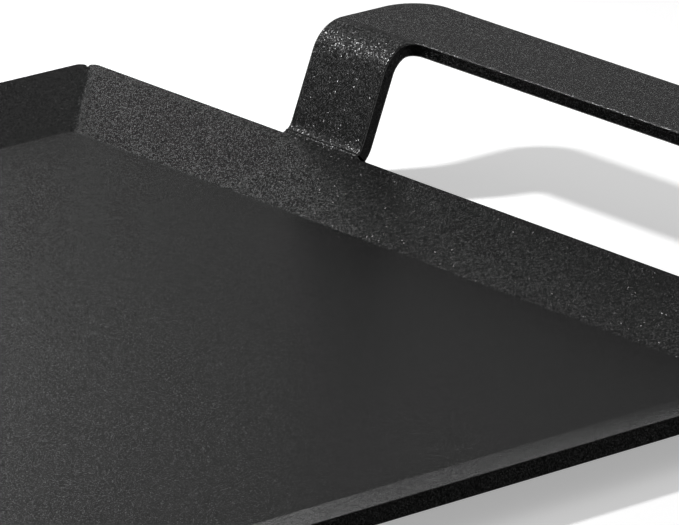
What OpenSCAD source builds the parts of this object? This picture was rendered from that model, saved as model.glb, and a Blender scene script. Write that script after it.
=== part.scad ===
// Camp griddle plate: a shallow pan folded from one steel sheet, with a bent strap
// handle welded to the edge of each short rim. Millimetres, +Z up, X is the long way.
// The origin is under the middle of the plate, on the surface that it stands on.

/* [Pan] */
// Width over the top edges of the left and right rims
pan_w = 420; // [320:1:560]
// Depth over the top edges of the front and back rims
pan_d = 285; // [260:1:400]
// Thickness of the pan sheet
sheet_t = 4; // [3:0.1:6]
// Height of the rim's top edge above the cooking surface
rim_rise = 7.7; // [5:0.1:14]
// Slope of the rim from the horizontal, in degrees
rim_angle = 18.3; // [14:0.1:30]
// Inside radius of the fold between the cooking surface and the rim
fold_r = 2; // [1:0.5:8]
// Radius of the rim's four outer corners, seen from above
rim_corner_r = 4.2; // [3:0.1:8]

/* [Handles] */
// Length of a handle along the rim, over both legs
handle_len = 172; // [140:1:190]
// How far the handles sit from the middle of the plate towards its front edge
handle_shift = 19.4; // [0:0.1:22]
// Thickness of the handle strap
strap_t = 3.5; // [2.5:0.1:4]
// Width of each leg along the rim
leg_w = 26.5; // [18:0.1:34]
// Width of the flat grip bar
bar_w = 25; // [16:0.5:34]
// Slope of the legs from the horizontal, in degrees
leg_angle = 68.3; // [55:0.1:80]
// Height of the grip bar's top above the rim's top edge
handle_rise = 25.6; // [20:0.1:45]
// Inside radius of the bend where a leg leaves the rim
foot_bend_r = 3.4; // [2.5:0.1:6]
// Inside radius of the bend between a leg and the grip bar
top_bend_r = 6.5; // [3:0.1:9]
// How far the grip bar's inner edge reaches back into the end of that bend
bar_lap = 0.5; // [0.2:0.1:2]
// Radius of the handle's outer corners, seen from above
grip_corner_r = 11; // [4:0.5:14]
// Radius of the finger opening's corners beside the grip bar, seen from above
finger_corner_r = 4; // [2:0.5:12]

/* [Welds] */
// Width of the weld seam between two rims at a corner
corner_gap = 1.6; // [0.8:0.1:3]
// Width of the weld seam between the rim's edge and a handle foot, along the start of the foot bend
foot_gap = 0.65; // [0.4:0.05:1]
// How far a corner weld stops short of the rim's outer corner
corner_notch = 0.6; // [0.3:0.1:1.5]
// How far a corner weld stands proud of the underside
bead_rise = 0.5; // [0.2:0.1:1]
// How many flats of the foot bend the bead under a handle foot covers
bead_flats = 1; // [1:1:3]

/* [Hidden] */
$fn = 96;

coat_colour = "#343434";
weld_colour = "#3c3c3c";

// Round stretches are drawn with a flat for every few degrees
bend_step = 5;

// Rim: a fold, then a straight slope up to the top edge
rim_flat = (rim_rise - fold_r * (1 - cos(rim_angle))) / sin(rim_angle);
rim_run = fold_r * sin(rim_angle) + rim_flat * cos(rim_angle);
edge_lean = sheet_t * sin(rim_angle);
base_w = pan_w - 2 * rim_run;
base_d = pan_d - 2 * rim_run;
rim_top_z = sheet_t + rim_rise;

// Handle: a foot bend that starts at the rim's edge, a straight leg, a top bend and a level bar.
// The weld takes up the first few degrees of the foot bend
foot_tangent = foot_bend_r * tan((leg_angle - rim_angle) / 2);
strap_start = rim_angle + foot_gap / foot_bend_r * 180 / PI;
top_outer_r = top_bend_r + strap_t;
top_tangent = top_outer_r * tan(leg_angle / 2);
leg_run = (handle_rise - foot_tangent * sin(rim_angle)) / tan(leg_angle);
bend_end = foot_tangent * cos(rim_angle) + leg_run + top_tangent;
bar_in = bend_end - bar_lap;
bar_out = bar_in + bar_w;
finger_len = handle_len - 2 * leg_w;
leg_y = (handle_len - leg_w) / 2;

// Size of the trimming blocks, and how far they stand clear of what they trim
tool_reach = handle_len;
cut = sheet_t / 4;

// Directions in a profile: along a sheet that slopes by an angle, and square to it, downwards
function along(angle) = [cos(angle), sin(angle)];
function below(angle) = [sin(angle), -cos(angle)];

// Angles from one to another, evenly spaced by about the bend step
function sweep(from, to) =
    let (steps = ceil(abs(to - from) / bend_step))
    [for (i = [0:steps]) from + (to - from) * i / steps];

// Points on an arc
function arc(centre, r, from, to) = [for (angle = sweep(from, to)) centre + r * along(angle)];

function reversed(points) = [for (i = [len(points) - 1:-1:0]) points[i]];

// Line through a rim's sheet at a depth below its top face, from the start of its fold on the cooking surface
function rim_line(depth) = concat(
    [for (angle = sweep(0, rim_angle)) [0, fold_r] + (fold_r + depth) * below(angle)],
    [[rim_run, rim_rise] + depth * below(rim_angle)]
);

// Line through a handle strap at a depth below its top face, from the rim's top edge
foot_centre = -foot_bend_r * below(rim_angle);
top_centre = [bend_end, handle_rise - top_outer_r];
function strap_line(depth) = concat(
    [for (angle = sweep(strap_start, leg_angle)) foot_centre + (foot_bend_r + depth) * below(angle)],
    [for (angle = sweep(leg_angle, 0)) top_centre - (top_outer_r - depth) * below(angle)],
    [[bar_out, handle_rise - depth]]
);

module strap_profile() {
    polygon(concat(strap_line(0), reversed(strap_line(strap_t))));
}

// Stands a profile up: its X stays, its Y becomes height, and it is as wide along Y as given
module across(width) {
    rotate([90, 0, 0]) linear_extrude(width, center = true) children();
}

// One folded rim along a side of the base, mitred at both ends to leave room for the corner welds
module rim(side) {
    reach = rim_run + edge_lean + cut;
    half = side / 2 - corner_gap / sqrt(2);
    intersection() {
        translate([0, 0, sheet_t]) across(side + 2 * reach)
            polygon(concat(rim_line(0), reversed(rim_line(sheet_t))));
        translate([0, 0, -cut]) linear_extrude(rim_top_z + 2 * cut)
            polygon([[0, -half], [reach, -half - reach], [reach, half + reach], [0, half]]);
    }
}

// What lies outside a rounded outer corner of the pan: a cone keeps the edge faces square to the rims
module corner_waste(inset) {
    r = rim_corner_r - inset;
    lean = tan(rim_angle);
    height = rim_top_z + 2 * cut;
    translate([0, 0, -cut]) difference() {
        cube([tool_reach, tool_reach, height]);
        cylinder(height, r + (rim_top_z + cut) * lean, r - cut * lean);
    }
}

// Puts its children at a corner of the pan, mirrored so that +X and +Y point outwards there
module at_corner(side_x, side_y, x, y) {
    mirror([side_x < 0 ? 1 : 0, 0, 0]) mirror([0, side_y < 0 ? 1 : 0, 0]) translate([x, y, 0]) children();
}

// Seam that fills the gap between two rims, from the base's corner to just short of the outer corner
module corner_weld() {
    under = [for (p = rim_line(sheet_t)) [p.x, max(-sheet_t, p.y - bead_rise)]];
    outline = concat(rim_line(0), reversed(under));
    difference() {
        translate([0, 0, sheet_t]) rotate(45) across(corner_gap)
            polygon([for (p = outline) [p.x * sqrt(2) - corner_gap / 2, p.y]]);
        translate([-tool_reach, -tool_reach, -cut]) cube([tool_reach, tool_reach, sheet_t + 2 * cut]);
        translate([rim_run - rim_corner_r, rim_run - rim_corner_r, 0]) corner_waste(corner_notch);
    }
}

// Upright prism over a plan outline that starts behind the rim's edge and ends at x, with round corners there
module plan_prism(x, width, r) {
    translate([0, 0, -tool_reach]) linear_extrude(2 * tool_reach)
        polygon(concat(
            [[-cut, -width / 2]],
            arc([x - r, r - width / 2], r, -90, 0),
            arc([x - r, width / 2 - r], r, 0, 90),
            [[-cut, width / 2]]
        ));
}

// Bent strap handle, placed by the middle of the rim's top edge
module strap_handle() {
    difference() {
        intersection() {
            across(handle_len) strap_profile();
            plan_prism(bar_out, handle_len, grip_corner_r);
        }
        plan_prism(bar_in, finger_len, finger_corner_r);
    }
}

// Butt weld between the rim's edge and one handle foot, with a round bead underneath
module foot_weld() {
    underside = strap_line(strap_t);
    rim_corner = sheet_t * below(rim_angle);
    reach = underside[bead_flats] - rim_corner;
    turn = atan2(reach.y, reach.x);
    across(leg_w) polygon(concat(
        [[0, 0], strap_line(0)[0]],
        [for (i = [0:bead_flats - 1]) underside[i]],
        arc(rim_corner + reach / 2, norm(reach) / 2, turn, turn - 180)
    ));
}

// Puts its children at the middle of a handle on the right rim (side 1) or the left rim (side -1)
module at_rim(side) {
    mirror([side < 0 ? 1 : 0, 0, 0]) translate([pan_w / 2, -handle_shift, rim_top_z]) children();
}

// Cooking surface and four rims, folded from one sheet
module griddle_pan() {
    color(coat_colour) difference() {
        union() {
            translate([-base_w / 2, -base_d / 2, 0]) cube([base_w, base_d, sheet_t]);
            for (turn = [0, 180]) rotate(turn) translate([base_w / 2, 0, 0]) rim(base_d);
            for (turn = [90, 270]) rotate(turn) translate([base_d / 2, 0, 0]) rim(base_w);
        }
        for (side_x = [-1, 1], side_y = [-1, 1])
            at_corner(side_x, side_y, pan_w / 2 - rim_corner_r, pan_d / 2 - rim_corner_r) corner_waste(0);
    }
}

module right_handle() {
    color(coat_colour) at_rim(1) strap_handle();
}

module left_handle() {
    color(coat_colour) at_rim(-1) strap_handle();
}

module back_right_corner_weld() {
    color(weld_colour) at_corner(1, 1, base_w / 2, base_d / 2) corner_weld();
}

module back_left_corner_weld() {
    color(weld_colour) at_corner(-1, 1, base_w / 2, base_d / 2) corner_weld();
}

module front_right_corner_weld() {
    color(weld_colour) at_corner(1, -1, base_w / 2, base_d / 2) corner_weld();
}

module front_left_corner_weld() {
    color(weld_colour) at_corner(-1, -1, base_w / 2, base_d / 2) corner_weld();
}

module right_handle_back_weld() {
    color(weld_colour) at_rim(1) translate([0, leg_y, 0]) foot_weld();
}

module right_handle_front_weld() {
    color(weld_colour) at_rim(1) translate([0, -leg_y, 0]) foot_weld();
}

module left_handle_back_weld() {
    color(weld_colour) at_rim(-1) translate([0, leg_y, 0]) foot_weld();
}

module left_handle_front_weld() {
    color(weld_colour) at_rim(-1) translate([0, -leg_y, 0]) foot_weld();
}

griddle_pan();
right_handle();
left_handle();
back_right_corner_weld();
back_left_corner_weld();
front_right_corner_weld();
front_left_corner_weld();
right_handle_back_weld();
right_handle_front_weld();
left_handle_back_weld();
left_handle_front_weld();
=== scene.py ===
import math

import bmesh
import bpy
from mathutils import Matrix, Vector


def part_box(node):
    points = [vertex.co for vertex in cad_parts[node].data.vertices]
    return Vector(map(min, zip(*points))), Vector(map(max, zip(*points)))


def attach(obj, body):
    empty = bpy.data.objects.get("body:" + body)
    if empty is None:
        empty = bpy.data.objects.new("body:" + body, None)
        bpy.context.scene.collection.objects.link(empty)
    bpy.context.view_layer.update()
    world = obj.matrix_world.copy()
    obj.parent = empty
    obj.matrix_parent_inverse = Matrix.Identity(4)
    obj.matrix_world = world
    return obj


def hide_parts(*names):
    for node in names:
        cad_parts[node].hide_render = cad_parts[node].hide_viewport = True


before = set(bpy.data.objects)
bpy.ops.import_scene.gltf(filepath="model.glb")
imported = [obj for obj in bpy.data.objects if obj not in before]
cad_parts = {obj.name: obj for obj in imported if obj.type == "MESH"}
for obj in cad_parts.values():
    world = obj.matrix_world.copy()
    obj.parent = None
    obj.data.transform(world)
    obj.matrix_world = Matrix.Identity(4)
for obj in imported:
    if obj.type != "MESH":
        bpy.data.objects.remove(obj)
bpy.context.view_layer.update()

MM = 0.001
ROOT2 = math.sqrt(2)

# Sheet metal sizes, as the solids have them
SHEET = 4.0 * MM
STRAP = 3.5 * MM
RIM_ANGLE = math.radians(18.3)
FOLD_R = 2.0 * MM
RIM_CORNER_R = 4.2 * MM
LEG_ANGLE = math.radians(68.3)
LEG_W = 26.5 * MM
BAR_W = 25.0 * MM
BAR_LAP = 0.5 * MM
FOOT_BEND_R = 3.4 * MM
TOP_BEND_R = 6.5 * MM
GRIP_CORNER_R = 11.0 * MM
FINGER_CORNER_R = 4.0 * MM

# Finer forms that only the looks have: rounded arrises and rim tips, seams and weld beads
PAN_ARRIS_R = 0.15 * MM
STRAP_ARRIS_R = 0.42 * MM
TIP_R = 0.6 * MM
MITRE_GAP = 0.2 * MM
SEAM_HALF = 1.2 * MM
SEAM_END = 0.7 * MM
SEAM_STEP = 0.3 * MM
BEAD_HALF = 2.0 * MM
BEAD_RISE = 0.5 * MM
RIPPLE = 0.14
RIPPLE_PITCH = 1.7 * MM
SINK = 0.03 * MM
GROUND_BEND_R = 5.0 * MM
STRAP_START = 0.8 * MM
FOOT_BEAD_LAP = 0.6 * MM
FOOT_BEAD_DROP = 0.7 * MM

# Top of a foot weld, which dips before the strap, in mm: distance past the rim's edge, and height
FOOT_SEAM = (
    (-1.0, -0.03), (-0.7, 0.0), (-0.2, 0.004), (0.2, 0.0), (0.42, -0.055),
    (0.52, -0.07), (0.58, -0.066), (0.86, 0.008), (1.22, 0.004),
)

# Looks of a piece's faces, in the order of its materials
FACE, CUT_EDGE, ARRIS = range(3)

# Fineness of the meshes
BEND_STEP = math.radians(3)
ARC_STEP = math.radians(6)
ARRIS_STEPS = 3
ACROSS_WELD = [-1 + i / 4 for i in range(9)]
HALVINGS = 50
DECIMALS = 9
TINY = 1e-9
CUT_SNAP = 1e-7

# Places read off the frame
pan_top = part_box("griddle_pan")[1]
handle_low, handle_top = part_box("right_handle")
rim_half_w = pan_top.x - SHEET * math.sin(RIM_ANGLE)
rim_half_d = pan_top.y - SHEET * math.sin(RIM_ANGLE)
rim_rise = pan_top.z - SHEET
rim_flat = (rim_rise - FOLD_R * (1 - math.cos(RIM_ANGLE))) / math.sin(RIM_ANGLE)
rim_run = FOLD_R * math.sin(RIM_ANGLE) + rim_flat * math.cos(RIM_ANGLE)
base_half_w = rim_half_w - rim_run
base_half_d = rim_half_d - rim_run
handle_mid_y = (handle_low.y + handle_top.y) / 2
handle_half = (handle_top.y - handle_low.y) / 2

# Distances past the rim's edge: where the planes of rim and leg meet, and where the drawn foot bend begins
foot_corner = FOOT_BEND_R * math.tan((LEG_ANGLE - RIM_ANGLE) / 2)
foot_start = foot_corner - GROUND_BEND_R * math.tan((LEG_ANGLE - RIM_ANGLE) / 2)


class BentSheet:
    """Profile of a bent sheet: straight and curved runs, measured along the middle of its thickness.

    It starts at a point on its top face, at a slope.
    """

    def __init__(self, x, z, slope, thickness):
        self.thickness = thickness
        self.length = 0.0
        self.runs = []
        self.end = (x + thickness / 2 * math.sin(slope), z - thickness / 2 * math.cos(slope), slope)

    def straight(self, length):
        self._run(length, 0.0)

    def curve(self, inside_r, turn):
        """Bend with a radius on its inner side. A positive turn is upwards."""
        radius = inside_r + self.thickness / 2
        self._run(radius * abs(turn), math.copysign(1 / radius, turn))

    def _run(self, length, bend):
        self.runs.append((self.length, length, bend, self.end))
        self.length += length
        self.end = self._middle(self.length)

    def _middle(self, s):
        """Place and slope of the middle of the sheet, at a distance along it."""
        start, _, bend, (x, z, slope) = [run for run in self.runs if run[0] <= s + TINY][-1]
        along = s - start
        if bend == 0:
            return x + along * math.cos(slope), z + along * math.sin(slope), slope
        turned = slope + along * bend
        across = (math.sin(turned) - math.sin(slope)) / bend
        rise = (math.cos(slope) - math.cos(turned)) / bend
        return x + across, z + rise, turned

    def at(self, s, depth):
        """Point in the sheet at a distance along it and a depth below its top face."""
        x, z, slope = self._middle(max(s, 0.0))
        lift = self.thickness / 2 - depth
        return x - lift * math.sin(slope), z + lift * math.cos(slope)

    def along(self, x, depth=0.0):
        """Distance along the sheet at which it passes over a plan position."""
        low, high = 0.0, self.length
        for _ in range(HALVINGS):
            mid = (low + high) / 2
            low, high = (mid, high) if self.at(mid, depth)[0] < x else (low, mid)
        return low

    def height(self, x, depth=0.0):
        """Height of the sheet at a plan position."""
        return self.at(self.along(x, depth), depth)[1]

    def creases(self):
        """Distances along the sheet where its flat blank is divided for bending."""
        found = set()
        for start, length, bend, _ in self.runs:
            steps = max(1, math.ceil(abs(bend) * length / BEND_STEP))
            marks = steps + 1 if bend else steps
            found.update(round(start + length * i / steps, DECIMALS) for i in range(marks))
        return sorted(found - {0.0})


def rim_profile():
    """Rim from the edge of the flat base on: the fold, then the slope."""
    sheet = BentSheet(0.0, SHEET, 0.0, SHEET)
    sheet.curve(FOLD_R, RIM_ANGLE)
    sheet.straight(rim_flat)
    return sheet


def foot_point(run, lift):
    """Place and slope on a foot, from a distance past the rim's edge and a height above the top face."""
    on_bend = max(run - foot_start, 0.0)
    on_rim = min(run, foot_start)
    slope = RIM_ANGLE + on_bend / GROUND_BEND_R
    x = GROUND_BEND_R * (math.sin(slope) - math.sin(RIM_ANGLE)) + on_rim * math.cos(RIM_ANGLE)
    z = GROUND_BEND_R * (math.cos(RIM_ANGLE) - math.cos(slope)) + on_rim * math.sin(RIM_ANGLE)
    return rim_half_w + x - lift * math.sin(slope), pan_top.z + z + lift * math.cos(slope), slope


def handle_profile():
    """Handle strap from its foot weld on: the rest of the foot bend, leg, top bend and grip bar."""
    foot_x, foot_z, foot_slope = foot_point(STRAP_START, 0.0)
    top_tangent = (TOP_BEND_R + STRAP) * math.tan(LEG_ANGLE / 2)
    rise = handle_top.z - pan_top.z - foot_corner * math.sin(RIM_ANGLE)
    sheet = BentSheet(foot_x, foot_z, foot_slope, STRAP)
    sheet.curve(GROUND_BEND_R, LEG_ANGLE - foot_slope)
    sheet.straight(rise / math.sin(LEG_ANGLE) - (foot_corner - foot_start) - top_tangent)
    sheet.curve(TOP_BEND_R, -LEG_ANGLE)
    sheet.straight(BAR_W - BAR_LAP)
    return sheet


rim = rim_profile()
strap = handle_profile()


def arc(x, y, radius, start, stop):
    """Points on an arc, angles in radians."""
    steps = max(1, math.ceil(abs(stop - start) / ARC_STEP))
    angles = [start + (stop - start) * i / steps for i in range(steps + 1)]
    return [(x + radius * math.cos(a), y + radius * math.sin(a)) for a in angles]


def inset_outline(outline, inset):
    """Outline moved inwards by a distance, corner by corner. It runs anticlockwise."""
    points = [Vector(p) for p in outline]
    moved = []
    for i, here in enumerate(points):
        before = (here - points[i - 1]).normalized()
        after = (points[(i + 1) % len(points)] - here).normalized()
        inward = Vector((-before.y - after.y, before.x + after.x))
        moved.append(here + inset * inward / (1 + before.dot(after)))
    return moved


def join_rings(bm, rings, looks=None):
    """Skin over a row of closed rings, with a cap at each end. Each row of faces can have its own look."""
    looks = looks or [FACE] * (len(rings) - 1)
    for look, near, far in zip(looks, rings, rings[1:]):
        for i in range(len(near)):
            face = bm.faces.new((near[i - 1], far[i - 1], far[i], near[i]))
            face.material_index = look
    bm.faces.new(rings[0])
    bm.faces.new(list(reversed(rings[-1])))


def flat_blank(outline, thickness, arris_r):
    """Slab cut to an outline, with its top face at z = 0 and rounded arrises."""
    turns = [math.pi / 2 * i / ARRIS_STEPS for i in range(ARRIS_STEPS + 1)]
    upper = [(arris_r * (1 - math.sin(t)), arris_r * (1 - math.cos(t))) for t in turns]
    lower = [(inset, thickness - depth) for inset, depth in reversed(upper)]
    bm = bmesh.new()
    rings = []
    for inset, depth in upper + lower:
        rings.append([bm.verts.new((p.x, p.y, -depth)) for p in inset_outline(outline, inset)])
    rows = [ARRIS] * ARRIS_STEPS
    join_rings(bm, rings, rows + [CUT_EDGE] + rows)
    return bm


def divide(bm, axis, places):
    """Cuts a blank at places along an axis, so that it can bend there."""
    normal = Vector((axis == 0, axis == 1, 0))
    for place in places:
        everything = bm.verts[:] + bm.edges[:] + bm.faces[:]
        bmesh.ops.bisect_plane(bm, geom=everything, dist=CUT_SNAP, plane_co=normal * place, plane_no=normal)


def piece(name, bm, materials, slot, *nodes):
    """Finished piece of the object from its mesh, riding on the part and standing for its nodes."""
    bmesh.ops.recalc_face_normals(bm, faces=bm.faces[:])
    for face in bm.faces:
        face.smooth = True
    mesh = bpy.data.meshes.new(name)
    bm.to_mesh(mesh)
    bm.free()
    for material in materials:
        mesh.materials.append(material)
    made = bpy.data.objects.new(name, mesh)
    bpy.context.scene.collection.objects.link(made)
    normals = made.modifiers.new("normals", "WEIGHTED_NORMAL")
    normals.keep_sharp = True
    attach(made, "root")
    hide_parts(*nodes)


def rim_outline(half_side):
    """Blank of one rim with its mitred ends: distances up the sheet from the base, and along the side.

    Each end has a small round tip, which touches the rim's corner arc and the cut beside the mitre.
    """
    corner = rim_run - RIM_CORNER_R
    tip_turn = math.asin((TIP_R + MITRE_GAP / ROOT2) / (RIM_CORNER_R - TIP_R))
    turn = math.pi / 4 - tip_turn
    tip_x = corner + (RIM_CORNER_R - TIP_R) * math.cos(turn)
    tip_y = corner + (RIM_CORNER_R - TIP_R) * math.sin(turn)
    plan = arc(corner, corner, RIM_CORNER_R, 0, turn)[:-1] + arc(tip_x, tip_y, TIP_R, turn, math.pi * 3 / 4)
    end = [(rim.along(x), half_side + y) for x, y in plan]
    folds = [s for s in reversed(rim.creases()) if s < rim.along(plan[-1][0])]
    end += [(s, half_side - MITRE_GAP + rim.at(s, 0)[0]) for s in folds + [0.0]]
    return [(s, -y) for s, y in reversed(end)] + end


def pan_mesh():
    """Pan cut as one flat blank, then folded up on all four sides."""
    bases = (base_half_w, base_half_d)
    outline = []
    for quarter in range(4):
        base, half_side = bases if quarter % 2 == 0 else reversed(bases)
        cosine = round(math.cos(quarter * math.pi / 2))
        sine = round(math.sin(quarter * math.pi / 2))
        for x, y in rim_outline(half_side):
            outline.append((cosine * (base + x) - sine * y, sine * (base + x) + cosine * y))
    bm = flat_blank(outline, SHEET, PAN_ARRIS_R)
    for axis, base in enumerate(bases):
        places = [base + s for s in [0.0] + rim.creases()]
        divide(bm, axis, places + [-p for p in places])
    for vert in bm.verts:
        over = [abs(vert.co[axis]) - base for axis, base in enumerate(bases)]
        axis = 0 if over[0] > over[1] else 1
        if over[axis] > 0:
            run, height = rim.at(over[axis], -vert.co.z)
            vert.co[axis] = math.copysign(bases[axis] + run, vert.co[axis])
            vert.co.z = height
        else:
            vert.co.z += SHEET
    return bm


def handle_mesh(side):
    """Handle cut as a flat staple shape, then bent at its feet and above its legs."""
    bar_in = handle_top.x - BAR_W
    grip = handle_half - GRIP_CORNER_R
    finger_half = handle_half - LEG_W
    finger = finger_half - FINGER_CORNER_R
    outer = [(strap.length - GRIP_CORNER_R + x, y) for x, y in arc(0, grip, GRIP_CORNER_R, 0, math.pi / 2)]
    inner = arc(bar_in - FINGER_CORNER_R, finger, FINGER_CORNER_R, math.pi / 2, 0)
    half = outer + [(0.0, handle_half), (0.0, finger_half)] + [(strap.along(x), y) for x, y in inner]
    outline = half + [(s, -y) for s, y in reversed(half)]
    bm = flat_blank(outline, STRAP, STRAP_ARRIS_R)
    divide(bm, 0, strap.creases())
    for vert in bm.verts:
        x, z = strap.at(vert.co.x, -vert.co.z)
        vert.co = (side * x, vert.co.y + handle_mid_y, z)
    return bm


def ripple(distance):
    """Factor on a bead's height, at a distance along it."""
    return 1 + RIPPLE * math.sin(2 * math.pi * distance / RIPPLE_PITCH)


def corner_weld_mesh(side_x, side_y):
    """Seam along a mitre: a smooth fillet in the valley on top and a rippled bead on the hip below."""
    last = rim_run - RIM_CORNER_R * (1 - math.sqrt(0.5)) - SEAM_END
    steps = round(last / SEAM_STEP)
    bm = bmesh.new()
    rings = []
    for row in range(steps + 1):
        mid = last * row / steps
        ring = []
        for share in ACROSS_WELD:
            off = share * SEAM_HALF / ROOT2
            out = mid + SEAM_HALF / ROOT2 * (1 + share * share) / 2
            ring.append((mid + off, mid - off, rim.height(out) - SINK * abs(share)))
        for share in reversed(ACROSS_WELD):
            off = share * BEAD_HALF / ROOT2
            bead = BEAD_RISE * (1 - share * share) * ripple(mid * ROOT2) - SINK
            under = rim.height(max(mid + abs(off), rim.at(0, SHEET)[0]), SHEET) - bead
            ring.append((mid + off, mid - off, max(under, 0.0)))
        verts = []
        for x, y, z in ring:
            verts.append(bm.verts.new((side_x * (base_half_w + x), side_y * (base_half_d + y), z)))
        rings.append(verts)
    join_rings(bm, rings)
    return bm


def foot_weld_mesh(side, mid_y):
    """Butt weld across a handle's foot: a seam that dips before the strap and a rippled bead underneath."""
    bead_mid = STRAP_START / 2
    bead_half = bead_mid + FOOT_BEAD_LAP
    steps = round(LEG_W / SEAM_STEP)
    bm = bmesh.new()
    rings = []
    for row in range(steps + 1):
        y = LEG_W * (row / steps - 0.5)
        ring = [(run * MM, lift * MM) for run, lift in FOOT_SEAM]
        for share in reversed(ACROSS_WELD):
            depth = (SHEET + STRAP) / 2 - share * (SHEET - STRAP) / 2
            drop = FOOT_BEAD_DROP * math.sqrt(1 - share * share) * ripple(y)
            ring.append((bead_mid + share * bead_half, SINK - depth - drop))
        verts = []
        for run, lift in ring:
            x, z, _ = foot_point(run, lift)
            verts.append(bm.verts.new((side * x, mid_y + y, z)))
        rings.append(verts)
    join_rings(bm, rings)
    return bm


def new_material(name):
    """New material, with its node tree and its surface shader."""
    material = bpy.data.materials.new(name)
    material.use_nodes = True
    return material, material.node_tree, material.node_tree.nodes["Principled BSDF"]


def node(tree, kind, **settings):
    """New shader node with its settings."""
    made = tree.nodes.new(kind)
    for key, value in settings.items():
        setattr(made, key, value)
    return made


def feed(tree, made, values):
    """Fills a node's inputs in order, with numbers or with links to other nodes' outputs."""
    for socket, value in zip(made.inputs, values):
        if isinstance(value, bpy.types.NodeSocket):
            tree.links.new(value, socket)
        else:
            socket.default_value = value


def math_node(tree, operation, *values):
    """Output of a math node whose inputs are numbers or other nodes' outputs."""
    made = node(tree, "ShaderNodeMath", operation=operation)
    feed(tree, made, values)
    return made.outputs[0]


def vector_node(tree, operation, *values):
    """Output of a vector math node whose inputs are vectors or other nodes' outputs."""
    made = node(tree, "ShaderNodeVectorMath", operation=operation)
    feed(tree, made, values)
    return made.outputs[0]


def texture(tree, kind, place, size):
    """Texture node whose features have about the given size."""
    made = node(tree, kind)
    made.inputs["Scale"].default_value = 1 / size
    tree.links.new(place, made.inputs["Vector"])
    return made


# Black coat of fine facets. Each lies at its own tilt, so that some catch the key lamp and sparkle.
# The tilt is smaller on level faces. Cut edges are duller. The strap's arrises get a higher gloss, a painted
# highlight that brightens the line where they catch the key lamp.
COAT_BLACK = 0.0015
COAT_SPREAD = 0.6
FACE_SPECULAR = 0.3
EDGE_SPECULAR = 0.065
# Painted highlight: higher gloss on the strap's arrises, for a brighter line where they catch the key lamp
ARRIS_HIGHLIGHT_SPECULAR = 0.7
COAT_ROUGH = 0.25
FACET_SIZE = 0.2 * MM
FACET_TILT = 0.38
LEVEL_TILT = 0.16
STEEP_UP = 0.95
CLOUD_SIZE = 24.0 * MM
CLOUD_ROUGH = 0.05


def face_up(tree):
    """How far a surface looks up: 1 where it is level, 0 where it is upright."""
    parts = node(tree, "ShaderNodeSeparateXYZ")
    tree.links.new(node(tree, "ShaderNodeTexCoord").outputs["Normal"], parts.inputs[0])
    return parts.outputs["Z"]


def coat_material(name, specular):
    """Coat with a gloss of its own, made of tilted facets and softly clouded in shade and roughness."""
    material, tree, shader = new_material(name)
    place = node(tree, "ShaderNodeTexCoord").outputs["Object"]
    cells = texture(tree, "ShaderNodeTexVoronoi", place, FACET_SIZE)
    chance = node(tree, "ShaderNodeTexWhiteNoise", noise_dimensions="3D")
    tree.links.new(cells.outputs["Position"], chance.inputs["Vector"])
    cloud = texture(tree, "ShaderNodeTexNoise", place, CLOUD_SIZE).outputs["Fac"]

    dice = vector_node(tree, "ADD", cells.outputs["Color"], chance.outputs["Color"])
    lean = vector_node(tree, "SUBTRACT", dice, (1.0, 1.0, 1.0))
    reach = node(tree, "ShaderNodeMapRange")
    feed(tree, reach, (face_up(tree), STEEP_UP, 1.0, FACET_TILT, LEVEL_TILT))
    tilt = node(tree, "ShaderNodeVectorMath", operation="SCALE")
    tree.links.new(lean, tilt.inputs["Vector"])
    tree.links.new(reach.outputs[0], tilt.inputs["Scale"])
    upright = node(tree, "ShaderNodeNewGeometry").outputs["Normal"]
    tilted = vector_node(tree, "ADD", upright, tilt.outputs[0])
    tree.links.new(vector_node(tree, "NORMALIZE", tilted), shader.inputs["Normal"])

    darkest = COAT_BLACK * (1 - COAT_SPREAD / 2)
    shade = math_node(tree, "MULTIPLY_ADD", cloud, COAT_BLACK * COAT_SPREAD, darkest)
    colour = node(tree, "ShaderNodeCombineColor")
    for channel in colour.inputs:
        tree.links.new(shade, channel)
    tree.links.new(colour.outputs[0], shader.inputs["Base Color"])

    rough = math_node(tree, "MULTIPLY_ADD", cloud, CLOUD_ROUGH, COAT_ROUGH - CLOUD_ROUGH / 2)
    tree.links.new(rough, shader.inputs["Roughness"])
    shader.inputs["Specular IOR Level"].default_value = specular
    return material


# Studio: a small key lamp behind the object, soft panels further out, an even world and a white floor
WHITE = (1, 1, 1, 1)
KEY_AT = Vector((-0.035, 0.262, 0.4325))
KEY_SIZE = 0.05
KEY_WATTS = 2.6
PANEL_AWAY = 2.0
PANEL_CLEAR = 0.01
AMBIENT = 0.23
FLOOR_DROP = 0.05 * MM
FLOOR_HALF = 12.0
FLOOR_WALL = 1.0
FLOOR_WHITE = 0.9
FLOOR_SHOWN = 0.36
SHADOW_REACH = 0.45
SHADOW_FADE = 0.35


def area_lamp(name, shape, at, aim, watts):
    """Area lamp that shines along aim and doesn't show in the picture itself. Its size is set later."""
    light = bpy.data.lights.new(name, "AREA")
    light.shape = shape
    light.energy = watts
    made = bpy.data.objects.new(name, light)
    made.location = at
    made.rotation_euler = aim.to_track_quat("-Z", "Y").to_euler()
    made.visible_camera = False
    bpy.context.scene.collection.objects.link(made)
    return light


def key_lamp():
    """Small round lamp aimed at the origin."""
    light = area_lamp("key_lamp", "DISK", KEY_AT, -KEY_AT, KEY_WATTS)
    light.size = KEY_SIZE


def panel(name, turn, spread, low, high, glow):
    """Upright soft panel. Angles in degrees: middle and spread round from +Y, lower and upper edge."""
    out = Vector((math.sin(math.radians(turn)), math.cos(math.radians(turn)), 0))
    width = 2 * PANEL_AWAY * math.tan(math.radians(spread / 2))
    base = PANEL_AWAY * math.tan(math.radians(low)) + PANEL_CLEAR
    height = PANEL_AWAY * math.tan(math.radians(high)) - base
    at = PANEL_AWAY * out + Vector((0, 0, base + height / 2))
    light = area_lamp(name, "RECTANGLE", at, -out, glow * math.pi * width * height)
    light.size = width
    light.size_y = height


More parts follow.
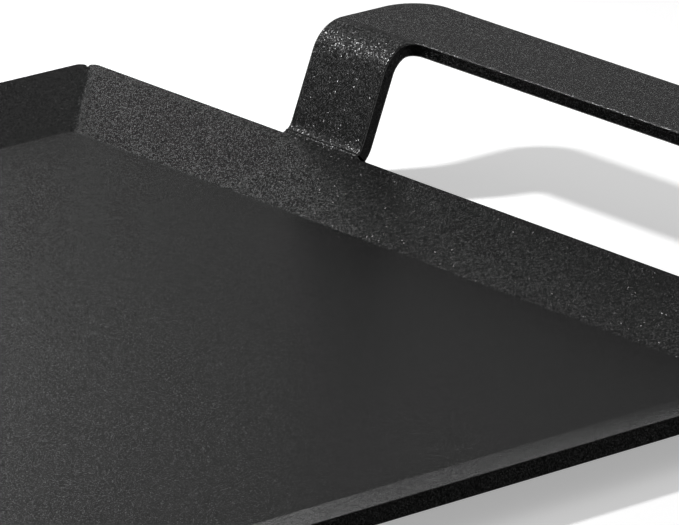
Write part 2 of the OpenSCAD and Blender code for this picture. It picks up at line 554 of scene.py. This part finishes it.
def studio_world():
    """Even white light from all round."""
    world = bpy.data.worlds.new("studio")
    bpy.context.scene.world = world
    world.use_nodes = True
    world.node_tree.nodes["Background"].inputs["Color"].default_value = WHITE
    world.node_tree.nodes["Background"].inputs["Strength"].default_value = AMBIENT


def seen_directly(tree):
    """1 for rays that show a background: straight from the camera, mirrored or through glass."""
    path = node(tree, "ShaderNodeLightPath")
    shown = math_node(tree, "MAXIMUM", path.outputs["Is Camera Ray"], path.outputs["Is Glossy Ray"])
    return math_node(tree, "MAXIMUM", shown, path.outputs["Is Transmission Ray"])


def floor_material():
    """White floor that takes a light shadow near the object and shows plain white further out."""
    material, tree, shader = new_material("floor_white")
    shader.inputs["Base Color"].default_value = (FLOOR_WHITE, FLOOR_WHITE, FLOOR_WHITE, 1)
    shader.inputs["Roughness"].default_value = 1.0
    shader.inputs["Specular IOR Level"].default_value = 0.0
    away = node(tree, "ShaderNodeVectorMath", operation="LENGTH")
    tree.links.new(node(tree, "ShaderNodeTexCoord").outputs["Object"], away.inputs[0])
    share = node(tree, "ShaderNodeMapRange")
    feed(tree, share, (away.outputs["Value"], SHADOW_REACH, SHADOW_REACH + SHADOW_FADE, FLOOR_SHOWN, 1.0))
    white = node(tree, "ShaderNodeEmission")
    glow = math_node(tree, "MULTIPLY", share.outputs[0], seen_directly(tree))
    tree.links.new(glow, white.inputs["Strength"])
    both = node(tree, "ShaderNodeAddShader")
    tree.links.new(shader.outputs[0], both.inputs[0])
    tree.links.new(white.outputs[0], both.inputs[1])
    tree.links.new(both.outputs[0], tree.nodes["Material Output"].inputs["Surface"])
    return material


def floor():
    """Floor with a low wall far out, so that level views end in white too."""
    bm = bmesh.new()
    corners = [(x * FLOOR_HALF, y * FLOOR_HALF) for x, y in ((-1, -1), (1, -1), (1, 1), (-1, 1))]
    ground = [bm.verts.new((x, y, -FLOOR_DROP)) for x, y in corners]
    top = [bm.verts.new((x, y, FLOOR_WALL)) for x, y in corners]
    bm.faces.new(ground)
    for i in range(len(corners)):
        bm.faces.new((ground[i - 1], ground[i], top[i], top[i - 1]))
    mesh = bpy.data.meshes.new("floor")
    bm.to_mesh(mesh)
    bm.free()
    mesh.materials.append(floor_material())
    made = bpy.data.objects.new("floor", mesh)
    bpy.context.scene.collection.objects.link(made)


# Camera, where the photograph was taken from
CAMERA_AT = Vector((-0.83393, -1.20045, 0.53192))
CAMERA_TILT = math.radians(18.626)
CAMERA_TURN = math.radians(39.955)
CAMERA_LENS = 379.81
CAMERA_SENSOR = 36.0
CAMERA_NEAR = 0.01
CAMERA_FAR = 100


def camera():
    data = bpy.data.cameras.new("camera")
    data.lens = CAMERA_LENS
    data.sensor_width = CAMERA_SENSOR
    data.clip_start = CAMERA_NEAR
    data.clip_end = CAMERA_FAR
    made = bpy.data.objects.new("camera", data)
    made.location = CAMERA_AT
    made.rotation_euler = (math.pi / 2 - CAMERA_TILT, 0, -CAMERA_TURN)
    bpy.context.scene.collection.objects.link(made)
    bpy.context.scene.camera = made


bpy.context.scene.view_settings.view_transform = "Standard"
black = coat_material("black_coat", FACE_SPECULAR)
edge = coat_material("edge_coat", EDGE_SPECULAR)
# Copy of the coat with a higher gloss, a painted highlight along the strap's arrises
arris_highlight = coat_material("arris_highlight_coat", ARRIS_HIGHLIGHT_SPECULAR)

piece("pan_sheet", pan_mesh(), (black, edge, black), "pan_coating", "griddle_pan")
for side, word in ((1, "right"), (-1, "left")):
    # The strap's arrises take the glossier copy of the coat, a painted highlight
    piece(f"{word}_strap_handle", handle_mesh(side), (black, edge, arris_highlight), "handle_coating", f"{word}_handle")
    for end, place in ((1, "back"), (-1, "front")):
        foot_y = handle_mid_y + end * (handle_half - LEG_W / 2)
        foot = foot_weld_mesh(side, foot_y)
        piece(f"{word}_{place}_foot_bead", foot, (black,), "weld_coating", f"{word}_handle_{place}_weld")
        seam = corner_weld_mesh(side, end)
        piece(f"{place}_{word}_corner_seam", seam, (black,), "weld_coating", f"{place}_{word}_corner_weld")

floor()
studio_world()
key_lamp()
panel("back_panel", turn=12, spread=48, low=0, high=29.5, glow=1.05)
panel("right_panel", turn=90, spread=60, low=25, high=60, glow=0.5)
camera()
